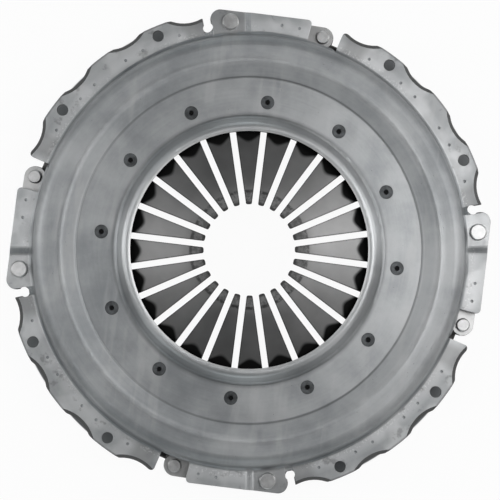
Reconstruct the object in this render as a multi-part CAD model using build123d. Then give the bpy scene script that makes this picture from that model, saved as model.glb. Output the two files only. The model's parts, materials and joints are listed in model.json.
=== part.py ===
from build123d import *
from math import cos, hypot, radians, sin, tan
import os

# Clutch cover assembly of the 430 mm class: push type, with a diaphragm spring.
# Frame: millimetres, +Z from the flywheel towards the gearbox, origin at the centre of the
# flange's mounting face. +X and +Y each run through the middle of a strap pack.

# --- Fits and clearances ---------------------------------------------------------------
seat_gap = 0.1              # between round parts that bear on each other inside the cover
running_gap = 0.3           # between the fulcrum ridge and the spring
rivet_fit = 0.1             # all round a rivet in its hole

# --- Cover: one pressing of sheet steel ------------------------------------------------
sheet = 5.0
opening_r = 112.5           # inner edge of the lip round the fingers
lip_edge_z = 42.0           # top of the lip at its inner edge
lip_crown_width = 6.0       # from the inner edge to where the lip turns down
lip_crown_z = 43.5
lip_width = 14.5            # from the inner edge to the lip's foot
sunk_z = 34.0               # top of the sunk ring that carries the pivot rivets
dome_z = 40.0               # top of the dome
dome_outer_r = 203.5        # where the dome's top plane meets the wall
dome_width = 24.5
dome_fall_width = 15.0      # from the dome's inner edge down to the sunk ring
wall_draft = 6.0            # how far the wall leans out between the dome and the flange
wall_split_z = 24.0         # below this height the wall differs from zone to zone
crease_fillet = 4.0
lip_fillet = 7.0
fall_fillet = 2.5           # the sharp crease at the foot of the fall
dome_fillet = 16.0
shoulder_fillet = 10.5
root_fillet = 4.0

# --- Flange, per quadrant: angles are measured from the middle of a strap pack ---------
pack_count = 4
bolt_pcd = 450.0
bolt_hole_d = 11.0
bolt_angles = [30.0, 60.0]
bolt_margin = 9.8           # from the bolt circle to the tips of the lobes
scallop_radius = 36.0
scallop_angles = [21.0, 37.5, 52.5, 69.6]
scallop_depths = [6.8, 3.4, 3.9, 6.0]
scallop_bevel = 3.5         # how far the scalloped edge leans in from bottom to top
notch_start = -16.4         # opening over the plate's lug
notch_rise = 1.0            # angle in which the wall's lower edge climbs to the bridge
notch_stop = -8.4
bridge_z = 12.0             # underside of the bridge over the straps
bridge_reach = 17.5         # from the wall's root to the straight edge of bridge and pad
pad_z = 8.5                 # underside of the pad that the straps hang from
pad_corner = 9.5            # rounding of the pad beside the slit
joggle_start = 6.1          # the sheet steps down from the bridge to the pad
joggle_stop = 8.3
joggle_bends = 5            # facets of the S in which it steps
slit_angle = 17.5           # sheared slit between the pad and the flange
slit_width = 7.0
slit_end_r = 4.8
slit_offset = 4.5           # from the wall's root to the slit's round end
corner_fillet = 4.0
punch_reach = 9.2           # from the wall's root to the punch marks
punch_d = 3.0
punch_depth = 0.7
flange_punch_angles = [25.0, 35.0, 40.0, 50.0, 55.0, 65.0]
bridge_punch_angles = [-5.7, -1.2]

# --- Diaphragm spring ------------------------------------------------------------------
spring_t = 4.8
spring_overhang = 6.0       # beyond the fulcrum ridge
cone_angle = 11.0           # free cone, rising towards the finger tips
finger_count = 24
finger_tip_r = 43.0
finger_bend_length = 15.0   # the fingers are bent flatter over this length at the tip
tip_angle = 1.0
slot_width = 6.0
window_length = 16.0
window_clearance = 0.7      # round a pivot rivet's collar
finger_corner = 1.6
finger_bend_fillet = 20.0

# --- Pivot: rivets and two wire rings --------------------------------------------------
pivot_rivet_count = 12
pivot_reach = 14.3          # from the lip's foot to the rivets
pivot_collar_d = 11.5
pivot_shank_d = 9.0
pivot_head_d = 13.0
pivot_head_depth = 3.0
pivot_foot_d = 26.0
pivot_foot_h = 3.5
head_dimple_d = 5.0
head_dimple_depth = 2.2
ring_wire_d = 6.0

# --- Pressure plate --------------------------------------------------------------------
friction_z = -28.0          # friction face, below the flange because the flywheel is a pot
friction_inner_r = 118.0
rim_reach = 6.5             # from the cover's wall root to the ring's outer edge
rim_z = -7.0                # top of the outer rim, under the cover's flange
wall_clearance = 2.0        # between the plate and the cover's wall
plate_top_z = -2.0
ridge_inset = 25.5          # from the cover's wall root in to the ridge under the spring
ridge_crest = 3.0           # radius of its rounded crest
ridge_foot = 6.0            # half of its width at the foot
ridge_gap_count = 12
ridge_gap_width = 16.0
vent_depth = 3.0
plate_chamfer = 1.5
lug_angle = -12.0           # from the middle of a strap pack
lug_top_z = 1.0
lug_thickness = 11.0
lug_half_width = 10.5
balance_hole_d = 12.0
balance_hole_depth = 8.0
balance_angles = [141.0, 147.0, 231.0]

# --- Strap packs -----------------------------------------------------------------------
leaf_count = 3
leaf_t = 1.1
leaf_pitch = 1.2            # from one leaf's face to the same face of the next
leaf_width = 20.5
leaf_bend_half = 26.0       # the set of the leaf lies within this distance of its middle
leaf_bend_fillet = 60.0
plate_rivet_reach = 8.4     # from the cover's wall root to the rivet in the plate's lug
cover_rivet_reach = 11.1    # from the cover's wall root to the rivet in the pad
cover_rivet_angle = 11.7
strap_shank_d = 8.5
cover_head_d = 16.0
cover_head_h = 4.2
plate_head_d = 13.0
plate_head_h = 4.2
tail_d = 13.0
tail_h = 3.2
head_edge = 1.1

# --- Worked out ------------------------------------------------------------------------
quadrant = 360 / pack_count
rise = tan(radians(cone_angle))
slant = cos(radians(cone_angle))
crease_r = opening_r + lip_width
pivot_rivet_r = crease_r + pivot_reach
collar_r = pivot_collar_d / 2
ring_r = pivot_rivet_r + collar_r + ring_wire_d / 2 + seat_gap
sunk_under = sunk_z - sheet
half_stack = (ring_wire_d + spring_t) / 2 + seat_gap
upper_ring_z = sunk_under - seat_gap - ring_wire_d / 2
pivot_z = upper_ring_z - half_stack / slant
lower_ring_z = pivot_z - half_stack / slant
foot_top_z = lower_ring_z - ring_wire_d / 2 - seat_gap
pack_height = (leaf_count - 1) * leaf_pitch + leaf_t
wall_root_r = dome_outer_r + wall_draft
wall_slope = wall_draft / (dome_z - sheet)
dome_inner_r = dome_outer_r - dome_width
sunk_outer_r = dome_inner_r - dome_fall_width
holes_r = bolt_pcd / 2
lobe_r = holes_r + bolt_margin
bridge_edge = wall_root_r + bridge_reach
punch_r = wall_root_r + punch_reach
plate_rivet_r = wall_root_r + plate_rivet_reach
cover_rivet_r = wall_root_r + cover_rivet_reach
ridge_r = wall_root_r - ridge_inset
spring_r = ridge_r + spring_overhang
friction_outer_r = wall_root_r + rim_reach
finger_bend_r = finger_tip_r + finger_bend_length
rim_inner_r = wall_root_r - sheet - wall_clearance
balance_hole_r = (rim_inner_r + friction_outer_r) / 2


def polar(radius, angle):
    """Point in plan at a radius and an angle in degrees."""
    return Vector(radius * cos(radians(angle)), radius * sin(radians(angle)))


def each_quadrant(shape):
    """The shape repeated at every strap pack."""
    return [Rot(0, 0, quadrant * k) * shape for k in range(pack_count)]


def wall_r(height):
    """Outer radius of the drafted wall at a height."""
    return dome_outer_r + (dome_z - height) * wall_slope


def sheet_section(points, radii, keep):
    """Section of the pressing in the XZ plane, above or below the height where its wall divides."""
    outer = FilletPolyline(*points, radius=radii)
    closed = offset(outer, amount=sheet, side=Side.RIGHT, closed=True)
    face = Plane.XZ * make_face(closed.edges())
    return split(face, bisect_by=Plane((0, 0, wall_split_z)), keep=keep)


# --- Cover -----------------------------------------------------------------------------
def dome():
    """Lip, sunk ring, dome and upper wall, turned about the axis."""
    points = [(opening_r, lip_edge_z), (opening_r + lip_crown_width, lip_crown_z), (crease_r, sunk_z),
              (sunk_outer_r, sunk_z), (dome_inner_r, dome_z), (dome_outer_r, dome_z),
              (wall_root_r, sheet)]
    radii = [lip_fillet, crease_fillet, fall_fillet, dome_fillet, shoulder_fillet]
    return revolve(sheet_section(points, radii, Keep.TOP), Axis.Z)


def skirt_section(underside, angle):
    """Lower wall and flange of one zone, at an angle, with its underside at a height."""
    top = underside + sheet
    points = [(dome_outer_r, dome_z), (wall_r(top), top), (lobe_r + sheet, top)]
    return Rot(0, 0, angle) * sheet_section(points, root_fillet, Keep.BOTTOM)


def skirt_zone(underside, start, stop):
    """A zone of the skirt whose section stays the same."""
    return revolve(skirt_section(underside, start), Axis.Z, stop - start)


def skirt_step(first, start, last, stop, bends=1):
    """A zone where the skirt steps from one height to another, in an S of so many facets."""
    sections = []
    for k in range(bends + 1):
        share = k / bends
        eased = share ** 2 * (3 - 2 * share)
        sections.append(skirt_section(first + (last - first) * eased,
                                      start + (stop - start) * share))
    return loft(sections, ruled=True)


def skirt():
    """The flange zones of one quadrant, untrimmed."""
    step = joggle_stop - joggle_start
    slit_start = slit_angle - step / 2
    notch_step = notch_start + notch_rise
    flange_end = quadrant + notch_start
    return (skirt_step(0, notch_start, bridge_z, notch_step)
            + skirt_zone(bridge_z, notch_step, joggle_start)
            + skirt_step(bridge_z, joggle_start, pad_z, joggle_stop, joggle_bends)
            + skirt_zone(pad_z, joggle_stop, slit_start)
            + skirt_step(pad_z, slit_start, 0, slit_start + step)
            + skirt_zone(0, slit_start + step, flange_end))


def sector(radius, start, stop):
    """Slice of a disc in plan."""
    arc = CenterArc((0, 0), radius, start, stop - start)
    return make_face([Line((0, 0), arc @ 0), arc, Line(arc @ 1, (0, 0))])


def rounded(face, inner, radius):
    """The face with its corners beyond a radius rounded."""
    corners = [v for v in face.vertices() if hypot(v.X, v.Y) > inner]
    return fillet(corners, radius)


def wedge(edge, start, stop):
    """Slice in plan between two angles, cut off straight at a distance from the axis."""
    return make_face(Polyline((0, 0), (edge, edge * tan(radians(start))),
                              (edge, edge * tan(radians(stop))), close=True))


def scallops():
    """Angle and radius of the centre of each scallop of a quadrant."""
    return [(angle, lobe_r - depth + scallop_radius)
            for angle, depth in zip(scallop_angles, scallop_depths)]


def flange_plan():
    """Outline of one quadrant of the bolting flange, seen along the axis."""
    face = sector(lobe_r, slit_angle, quadrant + notch_start)
    for angle, radius in scallops():
        centre = polar(radius, angle)
        face -= Pos(centre.X, centre.Y) * Circle(scallop_radius)
    return rounded(face, wall_root_r, corner_fillet)


def slit_plan():
    """Slit sheared between the pad and the flange, with a round end."""
    length = 2 * (lobe_r - wall_root_r)
    centre_r = wall_root_r + slit_offset + slit_end_r
    slit = Pos(centre_r, 0) * Circle(slit_end_r)
    slit += Pos(centre_r + length / 2, 0) * Rectangle(length, slit_width)
    return Rot(0, 0, slit_angle) * slit


def bridge_plan():
    """Outline of one bridge with its pad, seen along the axis: one straight outer edge."""
    face = wedge(bridge_edge, notch_stop, slit_angle) - slit_plan()
    for angle, radius in ((notch_stop, corner_fillet), (slit_angle, pad_corner)):
        end = Vector(bridge_edge, bridge_edge * tan(radians(angle)))
        face = fillet(face.vertices().sort_by_distance(end)[0], radius)
    return face


def skirt_plan():
    """Trimmed outline of the whole skirt, seen along the axis."""
    plan = Circle(wall_root_r)
    for face in each_quadrant(flange_plan() - slit_plan() + bridge_plan()):
        plan += face
    return plan


def scallop_bevels():
    """Cones that lean the scalloped edge of one quadrant inwards."""
    lean = scallop_bevel / sheet
    cone = Pos(0, 0, sheet / 2) * Cone(scallop_radius - lean, scallop_radius + scallop_bevel + lean,
                                       sheet + 2)
    bevels = []
    for angle, radius in scallops():
        centre = polar(radius, angle)
        bevels.append(Pos(centre.X, centre.Y) * cone)
    return bevels


def punch_marks():
    """Cones that mark the flange and the bridge of one quadrant."""
    cone = Cone(0, punch_d, 2 * punch_depth)
    tops = [(angle, sheet) for angle in flange_punch_angles]
    tops += [(angle, bridge_z + sheet) for angle in bridge_punch_angles]
    marks = []
    for angle, top in tops:
        at = polar(punch_r, angle)
        marks.append(Pos(at.X, at.Y, top) * cone)
    return marks


def cover():
    ring = skirt()
    trim = Pos(0, 0, -1) * extrude(skirt_plan(), wall_split_z + 2)
    body = dome()
    for zone in each_quadrant(ring - scallop_bevels() - punch_marks()):
        body += zone & trim
    bolt_hole = Cylinder(bolt_hole_d / 2, 4 * sheet)
    strap_hole = Cylinder(strap_shank_d / 2 + rivet_fit, 8 * sheet)
    cutters = []
    for k in range(pack_count):
        for angle in bolt_angles:
            at = polar(holes_r, angle + quadrant * k)
            cutters.append(Pos(at.X, at.Y, 0) * bolt_hole)
        at = polar(cover_rivet_r, cover_rivet_angle + quadrant * k)
        cutters.append(Pos(at.X, at.Y, pad_z) * strap_hole)
    seat = Plane.XZ * make_face(Polyline(
        (0, sunk_under - 1), (pivot_shank_d / 2 + rivet_fit, sunk_under - 1),
        (pivot_shank_d / 2 + rivet_fit, sunk_z - pivot_head_depth),
        (pivot_head_d / 2 + rivet_fit, sunk_z),
        (pivot_head_d / 2 + rivet_fit, sunk_z + 1), (0, sunk_z + 1), close=True))
    countersink = revolve(seat, Axis.Z)
    for k in range(pivot_rivet_count):
        at = polar(pivot_rivet_r, 360 / pivot_rivet_count * k)
        cutters.append(Pos(at.X, at.Y, 0) * countersink)
    return body - cutters


# --- Diaphragm spring ------------------------------------------------------------------
def spring_middle(radius):
    """Height of the middle of the spring's free cone at a radius."""
    return pivot_z + (ring_r - radius) * rise


def spring_plan():
    """Outline of the spring seen along the axis: 24 fingers between slots and windows."""
    plan = Circle(spring_r) - Circle(finger_tip_r)
    window_width = pivot_collar_d + 2 * window_clearance
    slot_end_r = pivot_rivet_r
    slot = Pos((slot_end_r + finger_tip_r / 2) / 2, 0) * Rectangle(
        slot_end_r - finger_tip_r / 2, slot_width)
    window_mid_r = ring_r - window_clearance - window_length / 2
    window = Pos(window_mid_r, 0) * RectangleRounded(window_length, window_width, window_width / 2.5)
    for k in range(finger_count):
        plan -= Rot(0, 0, 360 / finger_count * k) * (slot + window)
    tips = [v for v in plan.vertices() if hypot(v.X, v.Y) < finger_tip_r + 0.5]
    return fillet(tips, finger_corner)


def diaphragm_spring():
    bend_z = spring_middle(finger_bend_r)
    tip_z = bend_z + (finger_bend_r - finger_tip_r + 5) * tan(radians(tip_angle))
    shift = spring_t / 2 / slant
    line = FilletPolyline((spring_r + 5, spring_middle(spring_r + 5) + shift),
                          (finger_bend_r, bend_z + shift), (finger_tip_r - 5, tip_z + shift),
                          radius=finger_bend_fillet)
    section = Plane.XZ * make_face(offset(line, amount=spring_t, side=Side.LEFT, closed=True).edges())
    blank = revolve(section, Axis.Z)
    plan = Pos(0, 0, friction_z) * extrude(spring_plan(), 4 * dome_z)
    return blank & plan


# --- Pivot -----------------------------------------------------------------------------
def pivot_ring(height):
    return Pos(0, 0, height) * Torus(ring_r, ring_wire_d / 2)


def pivot_rivet():
    """Shouldered rivet on the axis: countersunk head, shank, collar and foot."""
    shank = pivot_shank_d / 2
    dimple = head_dimple_d / 2
    face = make_face(Polyline(
        (0, sunk_z - head_dimple_depth), (dimple * 0.6, sunk_z - head_dimple_depth),
        (dimple, sunk_z), (pivot_head_d / 2, sunk_z), (shank, sunk_z - pivot_head_depth),
        (shank, sunk_under), (collar_r, sunk_under), (collar_r, foot_top_z),
        (pivot_foot_d / 2, foot_top_z), (pivot_foot_d / 2, foot_top_z - pivot_foot_h + 1),
        (pivot_foot_d / 2 - 1, foot_top_z - pivot_foot_h), (0, foot_top_z - pivot_foot_h),
        close=True))
    return revolve(Plane.XZ * face, Axis.Z)


def pivot_rivets():
    rivets = []
    for k in range(pivot_rivet_count):
        at = polar(pivot_rivet_r, 360 / pivot_rivet_count * k)
        rivets.append(Pos(at.X, at.Y, 0) * pivot_rivet())
    return Compound(children=rivets)


# --- Pressure plate --------------------------------------------------------------------
def plate_blank():
    """Friction ring with its rim, top face and fulcrum ridge, turned about the axis."""
    reach = (ridge_crest + running_gap + spring_t / 2) / slant
    crest_z = spring_middle(ridge_r) - reach
    c = plate_chamfer
    left = (ridge_r - ridge_crest, crest_z)
    top = (ridge_r, crest_z + ridge_crest)
    right = (ridge_r + ridge_crest, crest_z)
    lines = [Polyline(left, (ridge_r - ridge_foot, plate_top_z), (friction_inner_r + c, plate_top_z),
                      (friction_inner_r, plate_top_z - c), (friction_inner_r, friction_z + c),
                      (friction_inner_r + c, friction_z), (friction_outer_r - c, friction_z),
                      (friction_outer_r, friction_z + c), (friction_outer_r, rim_z - c),
                      (friction_outer_r - c, rim_z), (rim_inner_r + c, rim_z),
                      (rim_inner_r, rim_z + c), (rim_inner_r, plate_top_z - c),
                      (rim_inner_r - c, plate_top_z), (ridge_r + ridge_foot, plate_top_z), right),
             ThreePointArc(right, top, left)]
    return revolve(Plane.XZ * make_face(lines), Axis.Z)


def lug():
    """Lug at a strap pack: flat top for the pack, round end about its rivet."""
    along = plate_rivet_r - friction_inner_r - 20
    face = Pos(plate_rivet_r - along / 2, 0) * Rectangle(along, 2 * lug_half_width)
    face += Pos(plate_rivet_r, 0) * Circle(lug_half_width)
    tall = Pos(0, 0, lug_top_z - lug_thickness) * extrude(face, lug_thickness)
    inside = Cylinder(rim_inner_r - plate_chamfer, 8 * dome_z)
    hole = Pos(plate_rivet_r, 0, 0) * Cylinder(strap_shank_d / 2 + rivet_fit, 4 * lug_thickness)
    recess = Pos(plate_rivet_r, 0, lug_top_z - lug_thickness) * Cylinder(
        tail_d / 2 + 2 * rivet_fit, 2 * (tail_h + rivet_fit))
    return tall - inside, hole + recess


def pressure_plate():
    plate = plate_blank()
    gap_floor = plate_top_z - vent_depth
    length = rim_inner_r - friction_inner_r
    gap = Pos((friction_inner_r + rim_inner_r) / 2, 0, gap_floor + dome_z / 2) * Box(
        length + 10, ridge_gap_width, dome_z)
    keep = Cylinder(rim_inner_r + 5, 8 * dome_z)
    first_gap = 360 / ridge_gap_count / 2
    for k in range(ridge_gap_count):
        plate -= (Rot(0, 0, first_gap + 360 / ridge_gap_count * k) * gap) & keep
    boss, bore = lug()
    for k in range(pack_count):
        turn = Rot(0, 0, lug_angle + quadrant * k)
        plate = plate + turn * boss - turn * bore
    for angle in balance_angles:
        at = polar(balance_hole_r, angle)
        plate -= Pos(at.X, at.Y, rim_z) * Cylinder(balance_hole_d / 2, 2 * balance_hole_depth)
    return plate


# --- Strap packs -----------------------------------------------------------------------
def leaf(layer):
    """One leaf of the pack at angle 0, the layer counted from the top."""
    start = polar(plate_rivet_r, lug_angle)
    end = polar(cover_rivet_r, cover_rivet_angle)
    span = (end - start).length
    drop = layer * leaf_pitch
    cover_z = pad_z - drop
    plate_z = lug_top_z + pack_height - drop
    reach = span / 2 + leaf_width / 2
    line = FilletPolyline((-reach, plate_z), (-leaf_bend_half, plate_z), (leaf_bend_half, cover_z),
                          (reach, cover_z), radius=leaf_bend_fillet)
    side = make_face(offset(line, amount=leaf_t, side=Side.RIGHT, closed=True).edges())
    strip = extrude(Plane.XZ * side, leaf_width, both=True)
    plan = SlotCenterToCenter(span, leaf_width)
    hole = Circle(strap_shank_d / 2 + rivet_fit)
    plan -= [Pos(-span / 2, 0) * hole, Pos(span / 2, 0) * hole]
    blank = strip & (Pos(0, 0, friction_z) * extrude(plan, 4 * dome_z))
    middle = (start + end) * 0.5
    turn = start.get_signed_angle(end - start, Vector(0, 0, 1)) + lug_angle
    return Pos(middle.X, middle.Y) * Rot(0, 0, turn) * blank


def headed_rivet(levels, head_d, head_h):
    """Rivet on the axis, from its tail's underside to its flat head."""
    tail_low, tail_high, head_low = levels
    shank = strap_shank_d / 2
    edge = head_d / 2
    top = head_low + head_h
    outline = Polyline((0, tail_low), (tail_d / 2 - head_edge, tail_low),
                       (tail_d / 2, tail_low + head_edge), (tail_d / 2, tail_high),
                       (shank, tail_high), (shank, head_low), (edge, head_low),
                       (edge, top - head_edge), (edge - head_edge, top), (0, top), close=True)
    return revolve(Plane.XZ * make_face(outline), Axis.Z)


def strap_cover_rivets():
    tail_high = pad_z - pack_height
    one = headed_rivet((tail_high - tail_h, tail_high, pad_z + sheet), cover_head_d, cover_head_h)
    at = polar(cover_rivet_r, cover_rivet_angle)
    return Compound(children=each_quadrant(Pos(at.X, at.Y) * one))


def strap_plate_rivets():
    tail_low = lug_top_z - lug_thickness
    levels = (tail_low, tail_low + tail_h, lug_top_z + pack_height)
    one = headed_rivet(levels, plate_head_d, plate_head_h)
    at = polar(plate_rivet_r, lug_angle)
    return Compound(children=each_quadrant(Pos(at.X, at.Y) * one))


# --- Write every piece -----------------------------------------------------------------
os.makedirs("parts", exist_ok=True)
pieces = {
    "cover": cover(),
    "diaphragm_spring": diaphragm_spring(),
    "pivot_ring_upper": pivot_ring(upper_ring_z),
    "pivot_ring_lower": pivot_ring(lower_ring_z),
    "pivot_rivets": pivot_rivets(),
    "pressure_plate": pressure_plate(),
    "strap_cover_rivets": strap_cover_rivets(),
    "strap_plate_rivets": strap_plate_rivets(),
}
for layer, place in enumerate(["top", "middle", "bottom"]):
    for number, shape in enumerate(each_quadrant(leaf(layer)), start=1):
        pieces[f"leaf_spring_{number}_{place}"] = shape
for name, shape in pieces.items():
    export_step(shape, f"parts/{name}.step")
    print(name, "solids", len(shape.solids()), "volume", round(shape.volume))
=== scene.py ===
# %% [markdown]
# # A clutch cover assembly, dressed for its portrait
# This lesson puts finishes on a heavy clutch cover: a pressed steel cover, a slotted diaphragm
# spring, spring straps, rivets and a cast iron plate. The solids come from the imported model, in
# metres, with +Z along the clutch's axis, and nothing here moves or resizes them. What flexes on
# the real thing, the diaphragm spring and the straps, is modelled again as meshes that can bend.

import json
import math
from types import SimpleNamespace

import bmesh
import bpy
from mathutils import Matrix, Vector


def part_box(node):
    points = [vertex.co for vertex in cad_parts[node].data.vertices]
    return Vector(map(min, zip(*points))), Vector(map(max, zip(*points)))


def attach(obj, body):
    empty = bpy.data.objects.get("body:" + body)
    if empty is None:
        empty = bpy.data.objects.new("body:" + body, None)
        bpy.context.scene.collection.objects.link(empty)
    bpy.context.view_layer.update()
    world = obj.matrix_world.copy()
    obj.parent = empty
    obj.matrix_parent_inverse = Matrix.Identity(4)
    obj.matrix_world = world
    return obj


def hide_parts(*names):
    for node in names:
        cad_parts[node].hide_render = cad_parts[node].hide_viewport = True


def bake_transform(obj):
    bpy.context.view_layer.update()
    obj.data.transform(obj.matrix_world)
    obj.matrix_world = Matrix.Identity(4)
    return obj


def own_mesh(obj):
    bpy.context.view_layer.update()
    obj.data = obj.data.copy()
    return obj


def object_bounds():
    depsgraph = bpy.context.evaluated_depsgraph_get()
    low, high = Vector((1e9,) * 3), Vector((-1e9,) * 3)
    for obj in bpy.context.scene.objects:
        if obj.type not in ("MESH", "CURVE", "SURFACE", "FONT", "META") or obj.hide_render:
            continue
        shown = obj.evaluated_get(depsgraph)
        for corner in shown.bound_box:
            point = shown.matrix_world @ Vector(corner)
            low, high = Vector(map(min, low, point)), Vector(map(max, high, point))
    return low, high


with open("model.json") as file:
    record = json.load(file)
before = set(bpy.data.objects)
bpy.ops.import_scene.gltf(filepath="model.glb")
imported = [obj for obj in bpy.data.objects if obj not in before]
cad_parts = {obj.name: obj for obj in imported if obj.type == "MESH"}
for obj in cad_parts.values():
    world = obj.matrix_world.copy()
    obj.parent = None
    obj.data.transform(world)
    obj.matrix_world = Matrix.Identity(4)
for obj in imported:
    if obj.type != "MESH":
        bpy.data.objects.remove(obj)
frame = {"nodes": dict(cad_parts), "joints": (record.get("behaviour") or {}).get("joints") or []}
nodes = frame["nodes"]
cad_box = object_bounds()
MM = 0.001


def rounded(box):
    """A box's two corners to a tenth of a millimetre, for printing."""
    return [tuple(round(c, 4) for c in corner) for corner in box]


print("nodes:", len(nodes), "box:", rounded(cad_box))

# %% [markdown]
# ## Key sizes
# Everything below is placed from a few sizes. Most are read from the solids, so the meshes stay
# on their seats if the solids change: the two pivot rings give the radius and height that the
# diaphragm spring rocks about, the spring gives its rim, and the joint gives the plate's lift.
# Four packs of straps hang the plate, so the rim of the cover repeats four times round.

# %% Key sizes
UP = Vector((0, 0, 1))
PACKS = 4
upper_low, upper_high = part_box("pivot_ring_upper")
lower_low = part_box("pivot_ring_lower")[0]
RING_WIRE = upper_high.z - upper_low.z
PIVOT_R = upper_high.x - RING_WIRE / 2
PIVOT_Z = (upper_high.z + lower_low.z) / 2
SPRING_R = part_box("diaphragm_spring")[1].x
FLOOR_Z = cad_box[0].z
LIFT = frame["joints"][0]["range_m"][1]
print(f"pivot radius {PIVOT_R:.4f} height {PIVOT_Z:.4f}, plate lift {LIFT:.4f}")

# %% [markdown]
# ## Camera
# The clutch is seen square on from the gearbox side, through a long lens, so the circles stay
# round. The camera stands a little below and left of the axis: near features slide against far
# ones by a pixel or so, which places it. The picture's up direction is a few degrees off the
# model's +Y, so the camera is rolled about its line of sight with an explicit matrix.

# %% Camera
PICTURE = 500
MM_PER_PIXEL = 0.965
ROLL = math.radians(7.1)
DISTANCE = 2.0
CAMERA_LEFT = 0.012
CAMERA_BELOW = 0.030
AIM_RIGHT = 1.2
AIM_UP = 1.0
SENSOR = 36.0
NEAR_CLIP = 0.1

right = Vector((math.cos(ROLL), math.sin(ROLL), 0))
upward = UP.cross(right)


def in_view(across, along, height=0.0):
    """Point at distances along the picture's right and up directions, at a height, in metres."""
    return right * across + upward * along + UP * height


aim = in_view(AIM_RIGHT * MM_PER_PIXEL * MM, AIM_UP * MM_PER_PIXEL * MM)
place = aim + in_view(-CAMERA_LEFT * DISTANCE, -CAMERA_BELOW * DISTANCE, DISTANCE)
back = (place - aim).normalized()
side = upward.cross(back).normalized()
camera_data = bpy.data.cameras.new("portrait")
camera_data.sensor_width = SENSOR
camera_data.lens = SENSOR * (place - aim).length / (PICTURE * MM_PER_PIXEL * MM)
camera_data.clip_start = NEAR_CLIP
camera = bpy.data.objects.new("portrait", camera_data)
turn = Matrix((side, back.cross(side), back)).transposed()
camera.matrix_world = Matrix.Translation(place) @ turn.to_4x4()
bpy.context.scene.collection.objects.link(camera)
bpy.context.scene.camera = camera
bpy.context.scene.view_settings.view_transform = "Standard"
print(f"lens {camera_data.lens:.0f} mm")

# %% [markdown]
# ## Writing shaders as expressions
# Node graphs are easier to read as arithmetic. `Field` wraps one socket whose value varies over
# a surface, and adding or multiplying fields adds the Math nodes. Most fields here are masks:
# they run from 0 to 1, and `step` makes one from any other field.

# %% Field: a value that varies over a surface
class Field:
    """A number or colour that varies over a surface."""

    def __init__(self, finish, socket):
        self.finish = finish
        self.socket = socket

    def math(self, operation, other=0.0, swap=False):
        pair = (other, self) if swap else (self, other)
        return self.finish.add("ShaderNodeMath", {"operation": operation}, {0: pair[0], 1: pair[1]})

    def __add__(self, other):
        return self.math("ADD", other)

    def __radd__(self, other):
        return self.math("ADD", other)

    def __sub__(self, other):
        return self.math("SUBTRACT", other)

    def __rsub__(self, other):
        return self.math("SUBTRACT", other, swap=True)

    def __mul__(self, other):
        return self.math("MULTIPLY", other)

    def __rmul__(self, other):
        return self.math("MULTIPLY", other)

    def __abs__(self):
        return self.math("ABSOLUTE")

    def step(self, low, high):
        """0 below low, 1 above high, smooth between; low may be above high to turn it round."""
        settings = {"interpolation_type": "SMOOTHSTEP"}
        return self.finish.add("ShaderNodeMapRange", settings,
                               {"Value": self, "From Min": low, "From Max": high})


print("fields ready")

# %% [markdown]
# `Finish` holds one material and makes any other node. Positions are taken from Object
# coordinates, which are metres here, and turned parts also get the radius and the angle round
# the axis. `upright` is the share of the surface's normal that points up the axis: 1 on flat
# steel, 0 on a wall. In the functions that follow, `f` is the finish that is being made.

# %% Finish: one material
BEVEL_SAMPLES = 6


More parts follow.
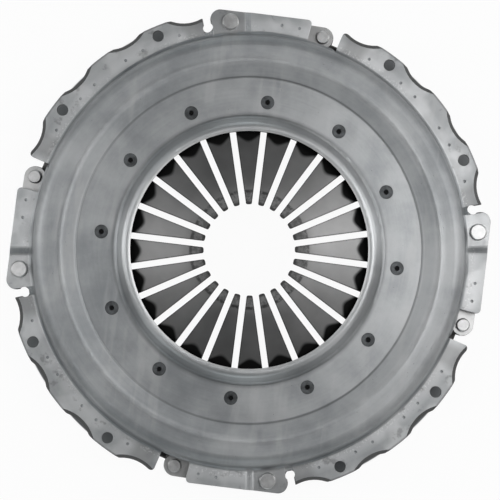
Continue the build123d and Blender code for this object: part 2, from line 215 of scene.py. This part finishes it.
class Finish:
    """One material, with its nodes made by short calls."""

    def __init__(self, name, **fixed):
        self.material = bpy.data.materials.new(name)
        self.material.use_nodes = True
        self.tree = self.material.node_tree
        self.shader = self.tree.nodes["Principled BSDF"]
        for socket, value in fixed.items():
            self.shader.inputs[socket.replace("_", " ")].default_value = value
        self.place = self.add("ShaderNodeTexCoord", output="Object")
        self.x = self.part(0)
        self.y = self.part(1)
        self.z = self.part(2)
        self.radius = (self.x * self.x + self.y * self.y).math("SQRT")
        self.angle = self.y.math("ARCTAN2", self.x)
        normal = self.add("ShaderNodeTexCoord", output="Normal")
        self.upright = self.add("ShaderNodeSeparateXYZ", {}, {0: normal}, 2)

    def plug(self, socket, value):
        if isinstance(value, Field):
            self.tree.links.new(value.socket, socket)
        else:
            socket.default_value = value

    def add(self, kind, settings=(), inputs=(), output=0):
        """Makes a node: settings first, then the values or fields of its sockets."""
        node = self.tree.nodes.new(kind)
        for key, value in dict(settings).items():
            setattr(node, key, value)
        for key, value in dict(inputs).items():
            self.plug(node.inputs[key], value)
        return Field(self, node.outputs[output])

    def part(self, index):
        """One coordinate of the position."""
        return self.add("ShaderNodeSeparateXYZ", {}, {0: self.place}, index)

    def ring(self, radius, reach, core=0.0):
        """1 at a radius, as far as core from it, and 0 beyond reach."""
        return abs(self.radius - radius).step(reach, core)

    def folded(self, count):
        """Angle from the nearest of count spokes, the first of them along X."""
        return self.angle.math("PINGPONG", math.pi / count)

    def spread(self, across, along, height):
        """A vector from three fields, for stretched textures."""
        return self.add("ShaderNodeCombineXYZ", {}, {0: across, 1: along, 2: height})

    def noise(self, scale, detail=4.0, rough=0.55, place=None):
        """Noise about 0.5, scale in cycles per metre."""
        return self.add("ShaderNodeTexNoise", {}, {
            "Vector": place or self.place, "Scale": scale, "Detail": detail, "Roughness": rough})

    def spots(self, scale):
        """Distance to the nearest of many scattered points, in units of their spacing."""
        return self.add("ShaderNodeTexVoronoi", {}, {"Vector": self.place, "Scale": scale})

    def blend(self, share, first, second):
        """Colour between two others."""
        node = self.tree.nodes.new("ShaderNodeMix")
        node.data_type = "RGBA"
        for socket, value in ((node.inputs[0], share), (node.inputs[6], first),
                              (node.inputs[7], second)):
            self.plug(socket, value)
        return Field(self, node.outputs[2])

    def finish(self, colour, rough, height=None, depth=0.0, edge=0.0):
        """Joins the fields to the shader; height times depth is the relief in metres."""
        self.plug(self.shader.inputs["Base Color"], colour)
        self.plug(self.shader.inputs["Roughness"], rough)
        normal = None
        if edge:
            normal = self.add("ShaderNodeBevel", {"samples": BEVEL_SAMPLES}, {"Radius": edge})
        if height is not None:
            inputs = {"Height": height, "Distance": depth, "Strength": 1.0}
            if normal:
                inputs["Normal"] = normal
            normal = self.add("ShaderNodeBump", {}, inputs)
        if normal:
            self.plug(self.shader.inputs["Normal"], normal)
        return self.material


print("finishes ready")

# %% [markdown]
# Every metal of the assembly is a grey, leaning a little to brown or to blue-green. The packed
# solids only receive a material; their shape and place stay as they are.

# %% Greys, and dressing a solid
def grey(level, warm=0.0):
    """A near-neutral colour; warm leans it to brown, negative to blue-green."""
    return (level * (1 + warm), level, level * (1 - warm * 0.8), 1.0)


def dress(name, material):
    """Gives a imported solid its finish."""
    mesh = nodes[name].data
    mesh.materials.clear()
    mesh.materials.append(material)


print("a cool grey:", grey(0.25, -0.05))

# %% [markdown]
# ## Cover: phosphated pressed steel
# The cover is one pressing, and its skin tells how it was made: soft mottling where oil and
# phosphate dried, faint scuffs that run round the axis, and metal rubbed bright where it is
# handled, on the flange and along the lip. Light and shade are painted on it too: painted shade
# in the creases, in the dips beside the pads, on the outer rim and on the steep edge faces,
# painted highlights along the opening's edge and by the wall's root, painted glints along the
# root, and the flat of the flange painted lighter than the wall. Radius and angle come straight
# from the position, so each mark can follow the turned shape without any unwrapping.
#
# The radii run outwards: the lip round the opening, the foot of its rise, the fall to the sunk
# ring, the slope and the shoulder of the dome, the wall's foot, the root of the flange and the
# tips of its lobes. The angles place the rivets' pads and the dips beside them in each
# quarter turn. A pair for a ring says how far the mark reaches and how far it stays full.

# %% Where things lie on the cover
LIP_R = 0.1125
FOOT_R = 0.1285
FALL_R = 0.1645
SLOPE_R = 0.1715
SHOULDER_R = 0.1950
WALL_R = 0.2095
ROOT_R = 0.2140
LOBE_R = 0.2348
DIP_ANGLE = math.radians(20.5)
PAD_START, PAD_STOP = math.radians(8), math.radians(17)
PAD_EASE = 0.01
DIP = (0.075, 0.025)
CREASE = (0.0040, 0.0)
FALL = (0.0016, 0.0004)
SLOPE = (0.0075, 0.0035)
SHOULDER = (0.013, 0.006)
SPECKLE = (0.0035, 0.001)
LIP_EDGE = (LIP_R + 0.0022, LIP_R + 0.0006)
HANDLED = (FOOT_R - 0.001, FOOT_R - 0.006)
WALL_START = (SHOULDER_R + 0.004, SHOULDER_R + 0.008)
FLANGE_START = (WALL_R, WALL_R + 0.002)
# reach of the painted highlight by the wall's root
ROOT_HIGHLIGHT = (ROOT_R + 0.012, ROOT_R + 0.002)
EDGE_START = (ROOT_R, ROOT_R + 0.001)
RIM_START = (LOBE_R - 0.0022, LOBE_R - 0.0008)
FLAT = (0.94, 0.99)
STEEP = (0.88, 0.72)


def cover_marks(f):
    """Masks on the cover, each 1 where its mark shows."""
    marks = SimpleNamespace()
    marks.wiped = f.noise(1.0, 3, 0.6, f.spread(f.x * 55, f.y * 9, f.z * 9)).step(0.52, 0.68)
    marks.handled = f.radius.step(*HANDLED)
    # painted highlight along the opening's edge
    marks.lip = f.radius.step(*LIP_EDGE)
    # painted shade in the creases at the foot of the lip's rise and at the fall
    marks.grime = f.ring(FOOT_R, *CREASE) * 0.45 + f.ring(FALL_R, *FALL) * 0.5
    marks.slope = f.ring(SLOPE_R, *SLOPE)
    marks.shoulder = f.ring(SHOULDER_R, *SHOULDER)
    marks.pits = f.spots(210).step(0.10, 0.04) * f.noise(60).step(0.50, 0.62)
    marks.flange = f.radius.step(*FLANGE_START) * f.upright.step(*FLAT)
    marks.wall = f.radius.step(*WALL_START) * (1 - marks.flange)
    marks.rubbed = marks.flange * f.noise(38, 2, 0.5).step(0.44, 0.62)
    marks.stain = marks.flange * f.noise(70, 3, 0.6).step(0.40, 0.30)
    # painted shade in the dips beside the pads
    marks.dip = marks.flange * abs(f.folded(PACKS) - DIP_ANGLE).step(*DIP)
    # painted highlight on the flange near the wall's root
    marks.corner = marks.flange * f.radius.step(*ROOT_HIGHLIGHT)
    # painted shade on the outer rim of the lobes
    marks.rim = f.radius.step(*RIM_START)
    # painted shade on the flange's steep faces
    marks.sheared = f.radius.step(*EDGE_START) * f.upright.step(*STEEP)
    return marks


def speckle(f):
    """Painted glints: fine bright grains along the root of the flange, in patches."""
    grains = f.noise(520, 2, 0.6).step(0.54, 0.60) * f.noise(16, 2, 0.5).step(0.45, 0.60)
    return f.ring(ROOT_R, *SPECKLE) * grains


def rivet_pad(f):
    """Each quarter turn between two angles, where the straps are riveted on."""
    turn = f.angle.math("FLOORED_MODULO", 2 * math.pi / PACKS)
    after = turn.step(PAD_START - PAD_EASE, PAD_START + PAD_EASE)
    return after * turn.step(PAD_STOP + PAD_EASE, PAD_STOP - PAD_EASE)


print("cover: dome to", SHOULDER_R, "wall foot", WALL_R, "rim", LOBE_R)

# %% [markdown]
# Each mark is laid over the last like a thin coat of paint: a mask times a strength says how
# much of the new colour shows. The bare, rubbed and handled places come out pale and the pits
# dark. Painted highlights and glints lighten the opening's edge and the wall's root, the flange is
# painted lighter, and painted shade darkens the creases, the dips, the outer rim and the steep
# edge faces. The wall, the slope and the shoulder are rougher than the rest, which spreads their
# highlights wide.

# %% Cover finish
PHOSPHATE_DARK, PHOSPHATE_PALE = grey(0.25, -0.05), grey(0.44, -0.02)
WIPED_GREY = grey(0.50)
HANDLED_GREY = grey(0.52, -0.02)
# painted shade for the creases
CREASE_SHADE_GREY = grey(0.10, -0.04)
# the flat flange painted lighter, and its rubbed patches
FLANGE_LIGHT_AND_WEAR_GREY = grey(0.62, -0.01)
# painted highlight near the wall's root
ROOT_HIGHLIGHT_GREY = grey(0.85, -0.01)
# painted glints
GLINT_GREY = grey(0.85)
# real stains, and painted shade in the dips and on the outer rim
STAIN_AND_SHADE_GREY = grey(0.16)
PIT_GREY = grey(0.12)
# painted shade on the steep faces
EDGE_SHADE_GREY = grey(0.10)
PAD_GREY = grey(0.30, -0.02)
# painted highlight on the opening's edge
LIP_HIGHLIGHT_GREY = grey(0.62)
COVER_RELIEF = 0.00022
COVER_EDGE = 0.0007


def cover_colour(f, marks, tone):
    """The skin's colour, each mark blended over the one before."""
    coats = (
        (marks.wiped * 0.30, WIPED_GREY),
        (marks.handled * 0.6, HANDLED_GREY),
        # painted shade in the creases
        (marks.grime, CREASE_SHADE_GREY),
        # the flat of the flange painted lighter; rubbed patches paler still
        (marks.flange * 0.20 + marks.rubbed * 0.42, FLANGE_LIGHT_AND_WEAR_GREY),
        # painted highlight by the wall's root
        (marks.corner * 0.28, ROOT_HIGHLIGHT_GREY),
        # stains, and painted shade in the dips
        ((marks.stain * 0.5).math("MAXIMUM", marks.dip * 0.45), STAIN_AND_SHADE_GREY),
        # painted glints along the root
        (marks.speckle * 0.35, GLINT_GREY),
        # painted shade on the outer rim
        (marks.rim * 0.6, STAIN_AND_SHADE_GREY),
        (marks.pits * 0.6, PIT_GREY),
        # painted shade on the steep faces
        (marks.sheared, EDGE_SHADE_GREY),
        (marks.pad * 0.55, PAD_GREY),
        # painted highlight along the opening's edge
        (marks.lip * 0.7, LIP_HIGHLIGHT_GREY))
    colour = f.blend(tone.step(0.32, 0.68), PHOSPHATE_DARK, PHOSPHATE_PALE)
    for share, coat in coats:
        colour = f.blend(share, colour, coat)
    return colour


def cover_finish():
    f = Finish("cover_steel", Metallic=0.75)
    marks = cover_marks(f)
    marks.speckle = speckle(f)
    marks.pad = marks.flange * rivet_pad(f)
    mottle = f.noise(26, 5, 0.6)
    cloud = f.noise(9, 3, 0.5)
    grain = f.noise(1400, 3, 0.6)
    scuff = f.noise(1.0, 4, 0.65, f.spread(f.radius * 420, f.angle * 3, f.z * 200))
    tone = mottle * 0.45 + cloud * 0.45 + scuff * 0.10
    rough = 0.34 + mottle * 0.08 + grain * 0.04 - marks.rubbed * 0.04 + marks.wiped * 0.03
    rough = rough + marks.slope * 0.16 + marks.shoulder * 0.12 + marks.wall * 0.12
    rough = rough + marks.flange * 0.10 - marks.pad * 0.10
    relief = grain * 0.20 + scuff * 0.05 + mottle * 1.2 - marks.pits * 1.2
    return f.finish(cover_colour(f, marks, tone), rough, relief, COVER_RELIEF, edge=COVER_EDGE)


dress("cover", cover_finish())
print("cover dressed")

# %% [markdown]
# ## Diaphragm spring: a surface with thickness
# The real spring is a slotted cone that flattens as the plate lifts. A solid mesh would grow
# thin when it is flattened, so the spring is built as its middle surface, and a Solidify
# modifier gives it thickness after the bend. Each finger is a grid of quads between two slot
# edges, and the grids share their edge points where the slots end, so the outer band is whole.
# The sizes are those of the solid that the mesh stands for.

# %% Shape of the spring
FINGERS = 24
THICK = 0.0048
CONE = math.radians(11.0)
TIP_R = 0.0430
BEND_R = 0.0580
TIP_SLOPE = math.radians(1.0)
BEND_SOFT = 0.0035
SLOT_HALF = 0.0030
WINDOW_HALF = 0.00645
WINDOW_CORNER = 0.00516
WINDOW_OUT = PIVOT_R - 0.0007
WINDOW_IN = WINDOW_OUT - 0.0160
TIP_CORNER = 0.0016
BEND_END = BEND_R + 0.006
BAND_START = WINDOW_OUT + 0.0004
COLUMNS = 8
SPRING_BEVEL = 0.0006


def spring_height(radius):
    """Height of the middle surface: a cone, bent flatter at the finger tips."""
    cone = PIVOT_Z + (PIVOT_R - radius) * math.tan(CONE)
    inside = BEND_R - radius
    turned = BEND_SOFT * math.log1p(math.exp(inside / BEND_SOFT))
    return cone - turned * (math.tan(CONE) - math.tan(TIP_SLOPE))


def slot_half(s):
    """Half the width of the slot at a distance along it, with its window and rounded tips."""
    flat = WINDOW_HALF - WINDOW_CORNER
    if s >= WINDOW_OUT:
        return 0.0
    if s > WINDOW_IN:
        near = min(s - WINDOW_IN, WINDOW_OUT - s)
        dip = max(WINDOW_CORNER - near, 0.0)
        return max(SLOT_HALF, flat + math.sqrt(max(WINDOW_CORNER ** 2 - dip ** 2, 0.0)))
    dip = max(TIP_CORNER - (s - TIP_R), 0.0)
    return SLOT_HALF + TIP_CORNER - math.sqrt(max(TIP_CORNER ** 2 - dip ** 2, 0.0))


def spread_rows(start, stop, count, even=1.0):
    """Distances from start to stop, evenly spaced, or closer near both ends if even is below 1."""
    rows = []
    for k in range(count + 1):
        t = k / count
        eased = (1 - math.cos(math.pi * t)) / 2
        rows.append(start + (stop - start) * (even * t + (1 - even) * eased))
    return rows


def finger_rows():
    """Distances of a finger's rows: tip corner, bend, straight run, window, then the band."""
    rows = spread_rows(TIP_R, TIP_R + TIP_CORNER, 4)
    rows += spread_rows(TIP_R + TIP_CORNER, BEND_END, 8)[1:]
    rows += spread_rows(BEND_END, WINDOW_IN, 14)[1:]
    rows += spread_rows(WINDOW_IN, WINDOW_OUT, 16, even=0.2)[1:]
    rows += spread_rows(BAND_START, SPRING_R, 8)
    return rows


def finger_edge(s, half, sign):
    """Point on a finger's edge in plan, beside the slot on one side of it."""
    lean = sign * math.pi / FINGERS
    along = Vector((math.cos(lean), math.sin(lean), 0))
    across = Vector((math.sin(lean), -math.cos(lean), 0)) * sign
    return along * s + across * half


def finger_grid(mesh, finger):
    """Points of one finger and its share of the band, row by row from the tip."""
    turn = Matrix.Rotation((finger + 0.5) * 2 * math.pi / FINGERS, 3, "Z")
    grid = []
    for s in finger_rows():
        half = slot_half(s)
        low, high = finger_edge(s, half, -1), finger_edge(s, half, 1)
        row = []
        for k in range(COLUMNS + 1):
            flat = low.lerp(high, k / COLUMNS)
            if half < SLOT_HALF:
                flat = flat.normalized() * s
            row.append(mesh.verts.new(turn @ (flat + UP * spring_height(flat.length))))
        grid.append(row)
    return grid


print(FINGERS, "fingers,", len(finger_rows()), "rows each")

# %% [markdown]
# The straps further down are sheets too, so three small helpers are shared: one fills a grid of
# points with quads, one turns the finished sheet into a smooth mesh, and one gives it thickness
# and softened edges. Those last two come from modifiers, which act after a piece is bent.

# %% Sheets, and the spring's own
MERGE = 1e-5
SHARP = math.radians(50)


def fill_grid(mesh, grid):
    for first, second in zip(grid, grid[1:]):
        for k in range(len(first) - 1):
            mesh.faces.new((first[k], first[k + 1], second[k + 1], second[k]))


def sheet_data(name, mesh):
    bmesh.ops.remove_doubles(mesh, verts=mesh.verts, dist=MERGE)
    bmesh.ops.recalc_face_normals(mesh, faces=mesh.faces)
    data = bpy.data.meshes.new(name)
    mesh.to_mesh(data)
    mesh.free()
    data.shade_smooth()
    return data


def place_sheet(name, data, thickness, edge):
    piece = bpy.data.objects.new(name, data)
    bpy.context.scene.collection.objects.link(piece)
    solid = piece.modifiers.new("thickness", "SOLIDIFY")
    solid.thickness = thickness
    solid.offset = 0.0
    bevel = piece.modifiers.new("edges", "BEVEL")
    bevel.width = edge
    bevel.segments = 2
    bevel.limit_method = "ANGLE"
    bevel.angle_limit = SHARP
    bevel.harden_normals = True
    return piece


def diaphragm_spring():
    mesh = bmesh.new()
    for finger in range(FINGERS):
        fill_grid(mesh, finger_grid(mesh, finger))
    data = sheet_data("diaphragm_spring_mesh", mesh)
    return place_sheet("spring_fingers", data, THICK, SPRING_BEVEL)


spring = diaphragm_spring()
print("spring:", len(spring.data.polygons), "faces before thickness")

# %% [markdown]
# ## Spring steel finish
# Hardened spring steel is dark and smooth, with a faint peened grain. Under the cover's lip the
# fingers get a painted shadow, near black; at the tips the release bearing frets a rough track
# with a dark rim. The painted shadow bulges inwards on every finger, which a cosine of the angle
# draws, one turn per finger. The slots' sheared edges are dark too: the angle folded at every
# slot gives the distance to the nearest one.

# %% Spring finish
# radius and bulge of the painted shadow under the cover's lip
LIP_SHADOW_R = 0.1072
LIP_SHADOW_BULGE = 0.0035
TRACK_R = 0.0555
STEEL_DARK, STEEL_PALE = grey(0.155), grey(0.195)
FRETTED = grey(0.07)
TRACK_RIM = grey(0.03)
SLOT_EDGE = grey(0.035)
# near-black painted shadow under the lip
LIP_SHADOW_BLACK = grey(0.004)
SPRING_RELIEF = 0.00015


def spring_finish():
    f = Finish("spring_steel", Metallic=0.85)
    peen = f.noise(900, 2, 0.5)
    cloud = f.noise(30, 3, 0.5)
    ripple = (f.angle * FINGERS).math("COSINE")
    # painted shadow of the cover's lip, bulging inwards on each finger
    lip_shadow = (f.radius - ripple * LIP_SHADOW_BULGE).step(LIP_SHADOW_R - 0.0030, LIP_SHADOW_R + 0.0016)
    beside = f.folded(FINGERS) * f.radius
    sheared = beside.step(SLOT_HALF + 0.0011, SLOT_HALF + 0.0004)
    fret = f.noise(260, 4, 0.7)
    track = f.radius.step(TRACK_R, TRACK_R - 0.002)
    rim = f.ring(TRACK_R, 0.0022, 0.0006) * fret.step(0.30, 0.55)
    end = f.radius.step(TIP_R + 0.0040, TIP_R + 0.0015)
    colour = f.blend(cloud.step(0.3, 0.75), STEEL_DARK, STEEL_PALE)
    colour = f.blend(track * fret.step(0.40, 0.62) * 0.7, colour, FRETTED)
    colour = f.blend(rim.math("MAXIMUM", end) * 0.8, colour, TRACK_RIM)
    colour = f.blend(sheared * 0.8, colour, SLOT_EDGE)
    # painted shadow under the lip, laid over all else
    colour = f.blend(lip_shadow, colour, LIP_SHADOW_BLACK)
    rough = 0.36 + cloud * 0.06 + track * 0.14 + lip_shadow * 0.20
    relief = peen * 0.25 + track * fret * 2.0
    return f.finish(colour, rough, relief, SPRING_RELIEF)


spring.data.materials.append(spring_finish())
print("spring finished in spring steel")

# %% [markdown]
# The spring rocks about the pivot rings: when the plate lifts, the ridge it presses on rises by
# the same amount and the cone flattens. This cell works out the share of the cone that is kept at
# full lift, hides the imported spring and hangs the mesh on the cover's body.

# %% How the spring moves
RIDGE_R = SPRING_R - 0.006
RIDGE_DROP = (RIDGE_R - PIVOT_R) * math.tan(CONE)
LEAST_CONE = 0.05
KEEP = max(1 - LIFT / RIDGE_DROP, LEAST_CONE)

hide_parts("diaphragm_spring")
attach(spring, "cover")
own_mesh(spring)

# %% [markdown]
# ## Spring straps
# Four packs of three thin leaves hang the plate from the cover and pull it back off the disc.
# Each leaf is flat at its riveted ends and set in a shallow S between them.

# %% Shape of the straps
LEAF_T = 0.0011
LEAF_WIDTH = 0.0205
LEAF_HALF = LEAF_WIDTH / 2
LEAF_SET = 0.026
LEAF_ROWS = 48
LEAF_COLUMNS = 8
LEAF_BEVEL = 0.0002
LAYERS = ["top", "middle", "bottom"]
PLATE_RIVET_R, PLATE_RIVET_ANGLE = 0.2179, math.radians(-12.0)
COVER_RIVET_R, COVER_RIVET_ANGLE = 0.2206, math.radians(11.7)


def in_plan(radius, angle):
    return Vector((radius * math.cos(angle), radius * math.sin(angle), 0))


def strap_ends(pack):
    """Plan points of the plate's and the cover's rivet of one pack."""
    quarter = Matrix.Rotation(pack * 2 * math.pi / PACKS, 3, "Z")
    return (quarter @ in_plan(PLATE_RIVET_R, PLATE_RIVET_ANGLE),
            quarter @ in_plan(COVER_RIVET_R, COVER_RIVET_ANGLE))


def leaf_rise(u):
    """0 before the set, 1 beyond it and an S between, at a distance from the leaf's middle."""
    t = min(max((u + LEAF_SET) / (2 * LEAF_SET), 0.0), 1.0)
    return t * t * (3 - 2 * t)


def leaf_grid(mesh, plate_end, cover_end, along):
    """Points of a leaf's middle surface, in rows across it, half circles at the ends."""
    across = UP.cross(along)
    span = along.dot(cover_end - plate_end)
    climb = UP * (cover_end.z - plate_end.z)
    middle = plate_end + along * (span / 2)
    reach = span / 2 + LEAF_HALF
    grid = []
    for u in spread_rows(-reach, reach, LEAF_ROWS, even=0.4):
        beyond = max(abs(u) - span / 2, 0.0)
        wide = math.sqrt(max(LEAF_HALF ** 2 - beyond ** 2, 0.0))
        centre = middle + along * u + climb * leaf_rise(u)
        grid.append([mesh.verts.new(centre + across * wide * (2 * k / LEAF_COLUMNS - 1))
                     for k in range(LEAF_COLUMNS + 1)])
    return grid


print(PACKS, "packs of", len(LAYERS), "leaves")

# %% [markdown]
# The strap steel is cold rolled and clean, and with the rivets it is the palest metal here. Each
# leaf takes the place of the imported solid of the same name. Its ends stay flat: the blend from
# cover to plate starts and stops half a width inside the rivets.

# %% Spring straps
STRAP_RELIEF = 0.00005


def strap_finish():
    f = Finish("strap_steel", Metallic=0.9)
    rolled = f.noise(260, 4, 0.6)
    cloud = f.noise(45, 3, 0.5)
    colour = f.blend(cloud.step(0.3, 0.75), grey(0.42), grey(0.56))
    return f.finish(colour, 0.31 + rolled * 0.14, rolled, STRAP_RELIEF)


def leaf(name, pack, finish):
    """One leaf, at the heights of the solid that it stands for."""
    low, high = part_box(name)
    plate_end, cover_end = strap_ends(pack)
    along = (cover_end - plate_end).normalized()
    plate_end.z, cover_end.z = low.z + LEAF_T / 2, high.z - LEAF_T / 2
    mesh = bmesh.new()
    fill_grid(mesh, leaf_grid(mesh, plate_end, cover_end, along))
    data = sheet_data(name + "_mesh", mesh)
    data.materials.append(finish)
    piece = place_sheet(name + "_strip", data, LEAF_T, LEAF_BEVEL)
    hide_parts(name)
    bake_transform(piece)


strap_steel = strap_finish()
for pack in range(PACKS):
    for layer in LAYERS:
        leaf(f"leaf_spring_{pack + 1}_{layer}", pack, strap_steel)
print("straps made")

# %% [markdown]
# ## Rivets and rings
# The pivot rivets are black phosphated with a punch mark in their heads, so they read as dark
# buttons in the pale ring. The strap rivets were formed bright and have dulled. The pivot rings
# are plain drawn wire.

# %% Rivets and rings
RIVETS = 12
RIVET_R = 0.1413
SMALL_EDGE = 0.0004
WIRE_RELIEF = 0.00012
FORMED_RELIEF = 0.00001


def plain_finish(name, dark, pale, relief):
    """Clean steel, mottled between two greys."""
    f = Finish(name, Metallic=0.85)
    mottle = f.noise(160, 4, 0.6)
    grain = f.noise(1500, 2, 0.6)
    colour = f.blend(mottle.step(0.3, 0.75), grey(dark), grey(pale))
    height = mottle + grain * 0.3
    return f.finish(colour, 0.30 + mottle * 0.15, height, relief, edge=SMALL_EDGE)


def pivot_rivet_finish():
    """Black phosphate, with painted shade in the punch mark at the middle of each head."""
    f = Finish("dark_rivet", Metallic=0.85)
    mottle = f.noise(160, 4, 0.6)
    beside = f.folded(RIVETS) * f.radius
    beyond = f.radius - RIVET_R
    # painted shade in the punch mark at each head's middle
    punch_shade = (beside * beside + beyond * beyond).math("SQRT").step(0.0022, 0.0012)
    colour = f.blend(mottle.step(0.3, 0.75), grey(0.06, -0.05), grey(0.13, -0.05))
    colour = f.blend(punch_shade * 0.9, colour, grey(0.008))
    rough = 0.36 + mottle * 0.15 + punch_shade * 0.3
    return f.finish(colour, rough, mottle, WIRE_RELIEF, edge=SMALL_EDGE)


dress("pivot_rivets", pivot_rivet_finish())
strap_rivet = plain_finish("strap_rivet", 0.46, 0.60, FORMED_RELIEF)
dress("strap_cover_rivets", strap_rivet)
dress("strap_plate_rivets", strap_rivet)
ring_wire = plain_finish("ring_wire", 0.25, 0.40, WIRE_RELIEF)
dress("pivot_ring_upper", ring_wire)
dress("pivot_ring_lower", ring_wire)
print("rivets and rings dressed")

# %% [markdown]
# ## Pressure plate: cast and turned iron
# The casting is dark and sandy. Its friction face is turned flat, so fine grooves run round the
# axis there and it shines; a mask on height picks it out. The same groove pattern, a sine of
# the radius broken by noise, gives the relief.

# %% Plate finish
GROOVES = 5200.0
FACE_TOP = FLOOR_Z + 0.0002
CAST_DARK, CAST_PALE = grey(0.085, 0.02), grey(0.20, 0.01)
TURNED_DARK, TURNED_PALE = grey(0.34), grey(0.52)
IRON_RELIEF = 0.00018
IRON_EDGE = 0.0006


def iron_finish():
    f = Finish("plate_iron", Metallic=0.7)
    sand = f.noise(420, 5, 0.7)
    cloud = f.noise(24, 4, 0.6)
    turned = f.z.step(FACE_TOP + 0.0002, FACE_TOP)
    grooves = (f.radius * GROOVES + f.noise(12, 2) * 1.5).math("SINE") * 0.5 + 0.5
    casting = f.blend(cloud.step(0.25, 0.8), CAST_DARK, CAST_PALE)
    streaks = (grooves * 0.15 + cloud * 0.85).step(0.2, 0.85)
    colour = f.blend(turned, casting, f.blend(streaks, TURNED_DARK, TURNED_PALE))
    rough = 0.62 - turned * 0.30 + sand * 0.12
    relief = sand * (1 - turned) * 2.0 + grooves * turned * 0.06
    return f.finish(colour, rough, relief, IRON_RELIEF, edge=IRON_EDGE)


dress("pressure_plate", iron_finish())
print("plate dressed")

# %% [markdown]
# ## Lamps
# A studio shot of bare metal is lit by what the metal can mirror. Flat metal that faces the
# camera mirrors what stands beside the lens, so the two high boxes, right and left, set the
# broad gradient. The low boxes light the wall and the rounded shoulder. Above, below and along
# the left of the wall the light is a little cooler than elsewhere.

# %% Lamps
LAMP_DISTANCE = 1.3
NARROW, WIDE = (0.4, 0.8), (0.5, 1.0)
COOL = (0.93, 1.0, 1.02)


def soft_box(name, around, tilt, size, power, tint=(1, 1, 1)):
    """An area lamp aimed at the clutch.

    around is in degrees from the picture's right, tilt in degrees off the axis.
    """
    data = bpy.data.lights.new(name, "AREA")
    data.shape = "RECTANGLE"
    data.size, data.size_y = size
    data.energy = power
    data.color = tint
    lamp = bpy.data.objects.new(name, data)
    out = LAMP_DISTANCE * math.sin(math.radians(tilt))
    height = LAMP_DISTANCE * math.cos(math.radians(tilt))
    turned = math.radians(around)
    lamp.location = in_view(out * math.cos(turned), out * math.sin(turned), height)
    lamp.rotation_mode = "QUATERNION"
    lamp.rotation_quaternion = (-lamp.location).to_track_quat("-Z", "Y")
    lamp.visible_camera = False
    bpy.context.scene.collection.objects.link(lamp)


soft_box("right_high", 12, 29, NARROW, 5.7)
soft_box("right_low", 14, 75, WIDE, 4.1)
soft_box("right_corner", -35, 32, NARROW, 0.4)
soft_box("left_high", 174, 31, NARROW, 3.2)
soft_box("left_low", 174, 64, NARROW, 3.6)
soft_box("wall_top_right", 45, 60, NARROW, 1.2)
soft_box("wall_top_left", 135, 60, NARROW, 0.8, COOL)
soft_box("wall_bottom_left", 225, 60, NARROW, 1.1, COOL)
soft_box("wall_bottom_right", 315, 60, NARROW, 1.3)
soft_box("top_low", 92, 78, WIDE, 1.8, COOL)
soft_box("bottom_low", 268, 78, WIDE, 2.0, COOL)
print(len(bpy.data.lights), "lamps")

# %% [markdown]
# ## Floor
# The ground is white. Camera rays see it as a glow with a little of its own shading mixed in, so
# a trace of the shadow stays, and what the metal mirrors of it is dimmer. Under the plate and the
# four arcs of the flange the glow is left out and the ground is dark: that contact shade is what
# shows through the bolt holes. Each arc fades at its ends, where the flange is cut away for the
# straps, and its outer rim draws in there. The floor lies a hair below the plate's face.

# %% Floor
GLOW = 1.0
SHADE = 0.05
MIRRORED = 0.30
BORE_SHADE = (0.1220, 0.1300)
PLATE_SHADE = (0.2160, 0.2130)
FOOT_SHADE = (0.2364, 0.2350)
SHADE_ENDS = (0.34, 0.48)
SHADE_DRAW = 0.016
FLOOR_GAP = 0.0002
FLOOR_REACH = 6.0
GROUND_WHITE, GROUND_DARK = grey(0.8), grey(0.20, -0.04)


def contact_shade(f):
    """1 under the plate, outside its bore, and under the arcs of the flange."""
    arcs = f.folded(PACKS).step(*SHADE_ENDS)
    drawn = (1 - arcs) * SHADE_DRAW + f.radius
    under = f.radius.step(*BORE_SHADE) * drawn.step(*FOOT_SHADE)
    return under * arcs.math("MAXIMUM", f.radius.step(*PLATE_SHADE))


def floor_finish():
    f = Finish("studio_floor", Roughness=0.9)
    seen = f.add("ShaderNodeLightPath", output="Is Camera Ray")
    seen = seen.math("MAXIMUM", f.add("ShaderNodeLightPath", output="Is Transmission Ray"))
    mirrored = f.add("ShaderNodeLightPath", output="Is Glossy Ray")
    shade = contact_shade(f)
    f.plug(f.shader.inputs["Base Color"], f.blend(shade, GROUND_WHITE, GROUND_DARK))
    glow = f.add("ShaderNodeEmission", {}, {"Color": (1, 1, 1, 1), "Strength": GLOW})
    share = seen * (1 - shade) * (1 - SHADE) + mirrored * MIRRORED
    shown = f.add("ShaderNodeMixShader", {}, {
        0: share, 1: Field(f, f.shader.outputs[0]), 2: glow})
    f.tree.links.new(shown.socket, f.tree.nodes["Material Output"].inputs["Surface"])
    return f.material


def studio_floor():
    data = bpy.data.meshes.new("studio_floor")
    level = FLOOR_Z - FLOOR_GAP
    corners = [(x * FLOOR_REACH, y * FLOOR_REACH, level)
               for x, y in ((-1, -1), (1, -1), (1, 1), (-1, 1))]
    data.from_pydata(corners, [], [(0, 1, 2, 3)])
    data.materials.append(floor_finish())
    floor = bpy.data.objects.new("studio_floor", data)
    bpy.context.scene.collection.objects.link(floor)


studio_floor()
print("floor laid")

# %% [markdown]
# ## Surroundings
# The camera sees white all round. The metal mirrors a dim cool grey instead, so that it keeps
# its contrast.

# %% Surroundings
AMBIENT = 0.02
AMBIENT_TINT = (0.95, 1.0, 1.01, 1)


def studio_world():
    world = bpy.data.worlds.new("studio")
    world.use_nodes = True
    tree = world.node_tree
    dim = tree.nodes["Background"]
    dim.inputs["Color"].default_value = AMBIENT_TINT
    dim.inputs["Strength"].default_value = AMBIENT
    white = tree.nodes.new("ShaderNodeBackground")
    white.inputs["Color"].default_value = (1, 1, 1, 1)
    rays = tree.nodes.new("ShaderNodeLightPath")
    mix = tree.nodes.new("ShaderNodeMixShader")
    tree.links.new(rays.outputs["Is Camera Ray"], mix.inputs[0])
    tree.links.new(dim.outputs[0], mix.inputs[1])
    tree.links.new(white.outputs[0], mix.inputs[2])
    tree.links.new(mix.outputs[0], tree.nodes["World Output"].inputs["Surface"])
    bpy.context.scene.world = world


studio_world()
print("studio lit")
